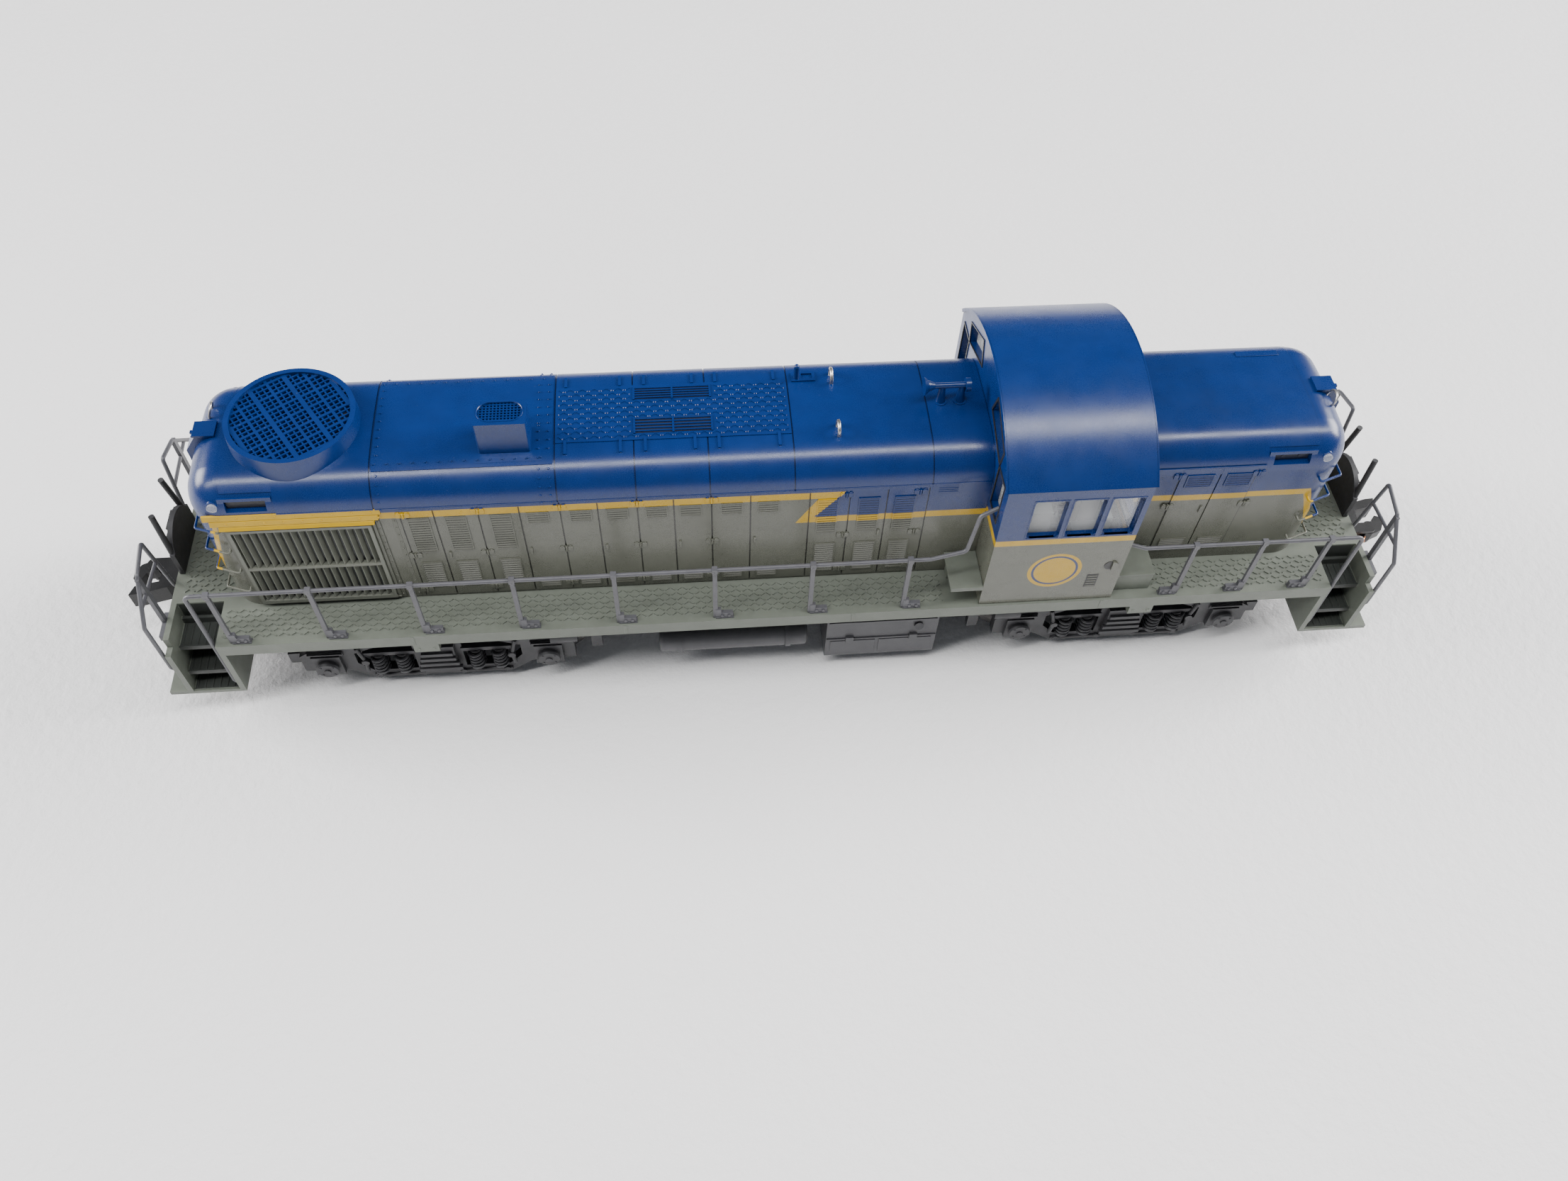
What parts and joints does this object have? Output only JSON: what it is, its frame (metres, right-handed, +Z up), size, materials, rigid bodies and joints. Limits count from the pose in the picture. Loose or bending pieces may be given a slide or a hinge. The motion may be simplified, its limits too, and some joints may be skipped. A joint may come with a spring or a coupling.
{
  "type": "model diesel locomotive",
  "caption": "Scale model road-switcher diesel: long and short hoods about an offset cab, railed walkways, swivelling geared trucks and sprung-knuckle couplers.",
  "frame": {"origin": "middle of the bounding box on the plane that the wheel flanges stand on", "axes": "+X along the track towards the short hood and cab, +Y across the track to the left, +Z up"},
  "size_m": [0.1964, 0.0358, 0.0511],
  "materials": {
    "blue_paint": "satin two-tone paint, royal blue over grey with a yellow band",
    "grey_paint": "satin green-grey paint",
    "rail_grey": "dark grey flexible plastic",
    "truck_grey": "matt dark grey plastic",
    "clear_plastic": "clear polished plastic",
    "interior_grey": "matt plastic",
    "bare_wire": "bent bare wire",
    "horn_paint": "satin blue paint",
    "zinc_casting": "blackened die-cast zinc",
    "coupler_black": "blackened die-cast zinc",
    "motor_steel": "plated steel can",
    "magnet": "sintered ferrite",
    "armature_steel": "lamination stack with copper windings",
    "steel": "ground steel",
    "flywheel_brass": "turned brass",
    "gear_plastic": "acetal",
    "drive_plastic": "black acetal",
    "circuit": "solder-masked board",
    "wheel_metal": "blackened nickel wheels"
  },
  "bodies": {
    "root": {"long_hood_shell": "blue_paint", "short_hood_shell": "blue_paint", "cab_shell": "blue_paint", "fan_grille": "blue_paint", "exhaust_stack": "blue_paint", "headlight_visors": "blue_paint", "horn": "horn_paint", "vent_pipe": "horn_paint", "cab_glazing": "clear_plastic", "light_lenses": "clear_plastic", "cab_interior": "interior_grey", "radiator_shutters": "grey_paint", "walkway_deck": "grey_paint", "lift_rings": "bare_wire", "drop_steps": "rail_grey", "right_handrails": "rail_grey", "left_handrails": "rail_grey", "end_handrails": "rail_grey", "grab_irons": "bare_wire", "chassis_casting": "zinc_casting", "ballast_weight": "zinc_casting", "fuel_tank": "truck_grey", "air_reservoirs": "truck_grey", "coupler_boxes": "drive_plastic", "motor_case": "motor_steel", "motor_magnets": "magnet", "circuit_board": "circuit", "body_screws": "steel", "front_pilot_steps": "grey_paint", "rear_pilot_steps": "grey_paint"},
    "driveline": {"armature": "armature_steel", "motor_shaft": "steel", "flywheels": "flywheel_brass", "cardan_shafts": "drive_plastic"},
    "front_truck": {"front_gear_tower": "drive_plastic", "front_keeper_plate": "truck_grey", "front_sideframes": "truck_grey"},
    "front_worm_shaft": {"front_worm": "steel"},
    "front_centre_wheel": {"front_centre_gear": "gear_plastic"},
    "front_outer_idler_wheel": {"front_outer_idler": "gear_plastic"},
    "front_outer_wheelset": {"front_outer_axle": "gear_plastic", "front_outer_wheels": "wheel_metal"},
    "front_inner_idler_wheel": {"front_inner_idler": "gear_plastic"},
    "front_inner_wheelset": {"front_inner_axle": "gear_plastic", "front_inner_wheels": "wheel_metal"},
    "front_coupler_body": {"front_coupler": "coupler_black"},
    "front_coupler_jaw": {"front_knuckle": "coupler_black"},
    "rear_truck": {"rear_gear_tower": "drive_plastic", "rear_keeper_plate": "truck_grey", "rear_sideframes": "truck_grey"},
    "rear_worm_shaft": {"rear_worm": "steel"},
    "rear_centre_wheel": {"rear_centre_gear": "gear_plastic"},
    "rear_outer_idler_wheel": {"rear_outer_idler": "gear_plastic"},
    "rear_outer_wheelset": {"rear_outer_axle": "gear_plastic", "rear_outer_wheels": "wheel_metal"},
    "rear_inner_idler_wheel": {"rear_inner_idler": "gear_plastic"},
    "rear_inner_wheelset": {"rear_inner_axle": "gear_plastic", "rear_inner_wheels": "wheel_metal"},
    "rear_coupler_body": {"rear_coupler": "coupler_black"},
    "rear_coupler_jaw": {"rear_knuckle": "coupler_black"}
  },
  "joints": [
    {"name": "motor_spin", "type": "hinge", "parent": "root", "child": "driveline", "pos_m": [0, 0, 0.02176], "axis": [1, 0, 0], "continuous": true},
    {"name": "front_truck_swivel", "type": "hinge", "parent": "root", "child": "front_truck", "pos_m": [0.0525, 0, 0.0145], "axis": [0, 0, 1], "range_deg": [-7.5, 7.5]},
    {"name": "front_worm_spin", "type": "hinge", "parent": "front_truck", "child": "front_worm_shaft", "pos_m": [0.0525, 0, 0.02176], "axis": [1, 0, 0], "continuous": true},
    {"name": "front_centre_spin", "type": "hinge", "parent": "front_truck", "child": "front_centre_wheel", "pos_m": [0.0525, 0, 0.01496], "axis": [0, 1, 0], "continuous": true},
    {"name": "front_outer_idler_spin", "type": "hinge", "parent": "front_truck", "child": "front_outer_idler_wheel", "pos_m": [0.0607, 0, 0.01079], "axis": [0, 1, 0], "continuous": true},
    {"name": "front_outer_wheel_spin", "type": "hinge", "parent": "front_truck", "child": "front_outer_wheelset", "pos_m": [0.06883, 0, 0.00648], "axis": [0, 1, 0], "continuous": true},
    {"name": "front_inner_idler_spin", "type": "hinge", "parent": "front_truck", "child": "front_inner_idler_wheel", "pos_m": [0.0443, 0, 0.01079], "axis": [0, 1, 0], "continuous": true},
    {"name": "front_inner_wheel_spin", "type": "hinge", "parent": "front_truck", "child": "front_inner_wheelset", "pos_m": [0.03617, 0, 0.00648], "axis": [0, 1, 0], "continuous": true},
    {"name": "front_coupler_swing", "type": "hinge", "parent": "root", "child": "front_coupler_body", "pos_m": [0.0826, 0, 0.0105], "axis": [0, 0, 1], "range_deg": [-12, 12], "stiffness_Nm_per_rad": 0.002},
    {"name": "front_knuckle_open", "type": "hinge", "parent": "front_coupler_body", "child": "front_coupler_jaw", "pos_m": [0.0953, -0.0022, 0.0105], "axis": [0, 0, 1], "range_deg": [-32, 0], "stiffness_Nm_per_rad": 0.00005, "springref_deg": 17.19},
    {"name": "rear_truck_swivel", "type": "hinge", "parent": "root", "child": "rear_truck", "pos_m": [-0.0525, 0, 0.0145], "axis": [0, 0, 1], "range_deg": [-7.5, 7.5]},
    {"name": "rear_worm_spin", "type": "hinge", "parent": "rear_truck", "child": "rear_worm_shaft", "pos_m": [-0.0525, 0, 0.02176], "axis": [1, 0, 0], "continuous": true},
    {"name": "rear_centre_spin", "type": "hinge", "parent": "rear_truck", "child": "rear_centre_wheel", "pos_m": [-0.0525, 0, 0.01496], "axis": [0, 1, 0], "continuous": true},
    {"name": "rear_outer_idler_spin", "type": "hinge", "parent": "rear_truck", "child": "rear_outer_idler_wheel", "pos_m": [-0.0607, 0, 0.01079], "axis": [0, 1, 0], "continuous": true},
    {"name": "rear_outer_wheel_spin", "type": "hinge", "parent": "rear_truck", "child": "rear_outer_wheelset", "pos_m": [-0.06883, 0, 0.00648], "axis": [0, 1, 0], "continuous": true},
    {"name": "rear_inner_idler_spin", "type": "hinge", "parent": "rear_truck", "child": "rear_inner_idler_wheel", "pos_m": [-0.0443, 0, 0.01079], "axis": [0, 1, 0], "continuous": true},
    {"name": "rear_inner_wheel_spin", "type": "hinge", "parent": "rear_truck", "child": "rear_inner_wheelset", "pos_m": [-0.03617, 0, 0.00648], "axis": [0, 1, 0], "continuous": true},
    {"name": "rear_coupler_swing", "type": "hinge", "parent": "root", "child": "rear_coupler_body", "pos_m": [-0.0826, 0, 0.0105], "axis": [0, 0, 1], "range_deg": [-12, 12], "stiffness_Nm_per_rad": 0.002},
    {"name": "rear_knuckle_open", "type": "hinge", "parent": "rear_coupler_body", "child": "rear_coupler_jaw", "pos_m": [-0.0953, 0.0022, 0.0105], "axis": [0, 0, 1], "range_deg": [-32, 0], "stiffness_Nm_per_rad": 0.00005, "springref_deg": 17.19}
  ],
  "couplings": [
    {"joint": "front_worm_spin", "follows": "motor_spin", "ratio": 1},
    {"joint": "front_centre_spin", "follows": "motor_spin", "ratio": -0.045455},
    {"joint": "front_outer_idler_spin", "follows": "motor_spin", "ratio": 0.041667},
    {"joint": "front_outer_wheel_spin", "follows": "motor_spin", "ratio": -0.045455},
    {"joint": "front_inner_idler_spin", "follows": "motor_spin", "ratio": 0.041667},
    {"joint": "front_inner_wheel_spin", "follows": "motor_spin", "ratio": -0.045455},
    {"joint": "rear_worm_spin", "follows": "motor_spin", "ratio": 1},
    {"joint": "rear_centre_spin", "follows": "motor_spin", "ratio": -0.045455},
    {"joint": "rear_outer_idler_spin", "follows": "motor_spin", "ratio": 0.041667},
    {"joint": "rear_outer_wheel_spin", "follows": "motor_spin", "ratio": -0.045455},
    {"joint": "rear_inner_idler_spin", "follows": "motor_spin", "ratio": 0.041667},
    {"joint": "rear_inner_wheel_spin", "follows": "motor_spin", "ratio": -0.045455}
  ]
}
